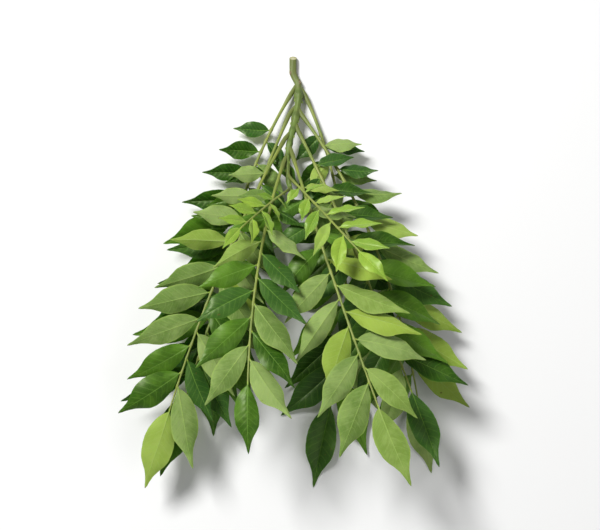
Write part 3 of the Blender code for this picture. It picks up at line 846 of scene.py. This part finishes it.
def stemPiece():
    # a tube along the stem's path, with faint ridges that turn slowly round it, and a slanting cut
    s, d = stemShape, stemDetail
    points, ways = stemPath()
    share = np.linspace(0.0, 1.0, d["rings"])
    centres, directions = atPath(points, share), unit(atPath(ways, share))
    along = share * s["length"]
    angles = ringAngles(d["sides"])
    turning = d["ridges"] * (angles[None, :] + along[:, None] * d["ridgeTurn"])
    ridged = 1 + d["ridgeDepth"] * np.cos(turning) * smooth(along / d["ridgeStart"])[:, None]
    scar = scarHeights(along, angles)
    radii = stemRadius(along)[:, None] * ridged * d["slimmer"] + d["scarHeight"] * scar
    body = ringPoints(centres, directions, radii, angles)
    # the cut slants: the top of the end is drawn forward along the stem
    drawn = np.exp(-along / d["cutRun"])[:, None] * (1 + np.sin(angles)[None, :])
    body = body + directions[:, None] * (drawn * s["baseRadius"] * d["cutSlant"])[..., None]
    body[..., 2] = np.maximum(body[..., 2], sprig["floor"])
    # rings over the cut face shrink towards its middle, which is a little hollow
    rim = body[0]
    middle = rim.mean(axis=0)
    shares = np.array(d["cutRings"])
    cut = middle + (rim - middle)[None] * shares[:, None, None]
    cut = cut + directions[0] * (d["cutHollow"] * (1 - shares ** 4))[:, None, None]
    rings = np.concatenate([cut[::-1], body])
    ends = np.stack([middle + directions[0] * d["cutHollow"], centres[-1] + directions[-1] * d["tipPoint"]])
    points, faces = closedTube(rings, ends)
    level = np.concatenate([np.zeros(len(shares)), along])
    nearNode = sum(bell(level - frond["at"] + d["nodeShift"], d["nodeMark"]) for frond in fronds)
    perRing = dict(alongPath=level, nodeShare=np.clip(nearNode, 0, 1),
                   cutFace=(np.arange(len(rings)) < len(shares)).astype(float),
                   coreShare=np.concatenate([shares[::-1], np.ones(d["rings"])]))
    values = {key: alongRings(value, d["sides"]) for key, value in perRing.items()}
    values["coreShare"][-2] = 0  # the point in the middle of the cut
    values["scarShare"] = np.concatenate([np.zeros(len(shares) * d["sides"]), scar.ravel(), [0, 0]])
    values.update(roundRings(len(rings), angles))
    piece = meshFrom("greenStem", points, faces, [greenBark], values)
    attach(piece, "root")
    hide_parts("stem")


stemPiece()
print("stem ready")


budShape = dict(
    rings=16, sides=12,
    axilLength=0.0024, axilRadius=0.00085, axilLean=0.3,  # one in each frond's axil
    youngSize=0.7, axilInset=0.62, axilAbove=0.0026, tipInset=0.0012, pointRadius=0.00003,
    # the shoot's folded youngest leaves: length, radius, lean away from the stem's line, turn round it
    tips=((0.0105, 0.00075, 0.1, 0.4), (0.0082, 0.0007, 0.34, 2.6), (0.0064, 0.00062, 0.42, 4.6),
             (0.0042, 0.0005, 0.5, 0.9)),
    flatness=0.62, curl=0.22,
)


def budArrays(base, way, out, length, radius):
    # a pointed spindle: radius times the sine of (half a turn times u to the power 0.7) times
    # (1 less a quarter of u), flattened to one side, on a centre line that curls back to the way
    d = budShape
    side = unit(np.cross(np.cross(way, out), way))
    over = np.cross(way, side)
    u = np.linspace(0.0, 1.0, d["rings"])
    angles = ringAngles(d["sides"])
    centres = base + way * (u * length)[:, None] + side * (d["curl"] * length * u * (1 - u))[:, None]
    radii = radius * np.sin(pi * u ** 0.7) * (1 - u / 4) + d["pointRadius"]
    ring = side * np.cos(angles)[:, None] * d["flatness"] + over * np.sin(angles)[:, None]
    ends = np.stack([centres[0] - way * d["pointRadius"], centres[-1] + way * d["pointRadius"]])
    points, faces = closedTube(centres[:, None] + ring[None] * radii[:, None, None], ends)
    return points, faces, alongRings(u, d["sides"])


def budPlaces():
    # a small bud above each frond's foot, and a tuft of folded leaves at the shoot's tip
    d = budShape
    stem, ways = stemPath()
    for frond in fronds:
        share = frond["at"] / stemShape["length"]
        way, out = unit(atPath(ways, share)), frondPath(frond)["outward"]
        base = atPath(stem, share) + out * stemRadius(frond["at"]) * d["axilInset"] + way * d["axilAbove"]
        lean = unit(way * math.cos(d["axilLean"]) + out * math.sin(d["axilLean"]))
        size = 1.0 if frond["leaf"] > leafletDetail["youngBelow"] else d["youngSize"]
        yield base, lean, out, d["axilLength"] * size, d["axilRadius"] * size
    way = unit(ways[-1])
    level = unit(np.cross(way, upright))
    over = np.cross(level, way)
    for length, radius, lean, around in d["tips"]:
        out = level * math.cos(around) + over * math.sin(around)
        direction = way * math.cos(lean) + out * math.sin(lean)
        yield stem[-1] - ways[-1] * d["tipInset"], direction, out, length, radius


def budPiece():
    # all the buds as one mesh
    points, faces, along = [], [], []
    for place in budPlaces():
        spots, blocks, share = budArrays(*place)
        start = sum(map(len, points))
        faces += [block + start for block in blocks]
        points.append(spots)
        along.append(share)
    piece = meshFrom("shootBuds", np.vstack(points), faces, [youngBud], {"alongBud": np.concatenate(along)})
    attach(piece, "root")


budPiece()
print("buds ready")


studio = dict(
    floorSize=3.0, floorDrop=0.0003, floorColour=(0.9, 0.9, 0.895, 1),
    cloudScale=40, roughness=0.75, roughnessChange=0.1,
    # painted light on the floor: where its emission starts and is full, and the colour it emits there
    paintedGlowRange=(0.35, 1.2), paintedGlowColour=(0.56, 0.56, 0.56, 1),
    lens=85.0, distance=0.87, elevation=radians(80),
    lookHeight=0.012, worldStrength=0.2, backdrop=1.0,
    keyPower=28.0, keySize=0.55, keyFrom=(-0.7, 0.5, 1.3),
    fillPower=4.0, fillSize=1.2, fillFrom=(0.9, -0.6, 1.1),
)


def floorSurface(wire, look):
    # painted light: the floor's emitted glow grows from nought to its full colour with the distance from the
    # cut end
    place = wire.node("TexCoord", output="Object")
    away = wire.node("VectorMath", {"operation": "LENGTH"}, {0: place}, "Value")
    return {
        "Roughness": noise(place, look["cloudScale"]) * look["roughnessChange"] + look["roughness"],
        "Emission Color": blend(step(away, *look["paintedGlowRange"]), (0, 0, 0, 1), look["paintedGlowColour"]),
    }


def studioFloor():
    # one square, a hair under the sprig; far out it glows with painted light until it is as white as the room
    # looks
    corners = np.array([[-1, -1, 0], [1, -1, 0], [1, 1, 0], [-1, 1, 0]]) * studio["floorSize"] / 2
    corners[:, 2] -= studio["floorDrop"]
    paint = surface("paleFloor", floorSurface, studio, {
        "Base Color": studio["floorColour"], "Specular IOR Level": 0.2, "Emission Strength": 1.0})
    meshFrom("studioFloor", corners, [np.array([[0, 1, 2, 3]])], [paint])


studioFloor()
target = (Vector(cadBox[0]) + Vector(cadBox[1])) / 2
target.z = studio["lookHeight"]


def aimed(data, place, way):
    # a lamp or a camera at the place, facing along the way
    made = bpy.data.objects.new(data.name, data)
    made.location = place
    made.rotation_euler = way.to_track_quat("-Z", "Y").to_euler()
    scene.collection.objects.link(made)
    return made


for name in ("key", "fill"):
    light = bpy.data.lights.new(name + "Light", "AREA")
    light.shape, light.size, light.energy = "DISK", studio[name + "Size"], studio[name + "Power"]
    place = Vector(studio[name + "From"])
    aimed(light, place, target - place)

# the room is dim as a light, and white where the camera looks past the floor
world = bpy.data.worlds.new("softWhite")
world.use_nodes = True
room = world.node_tree.nodes["Background"]
room.inputs["Color"].default_value = (1, 1, 1, 1)
seen = Wire(world.node_tree).node("LightPath", output="Is Camera Ray")
strength = seen * (studio["backdrop"] - studio["worldStrength"]) + studio["worldStrength"]
world.node_tree.links.new(strength.socket, room.inputs["Strength"])
scene.world = world
scene.view_settings.view_transform = "Standard"

camera = bpy.data.cameras.new("camera")
camera.lens = studio["lens"]
away = Vector(wayOf(0.0, studio["elevation"]))
scene.camera = aimed(camera, target + away * studio["distance"], -away)
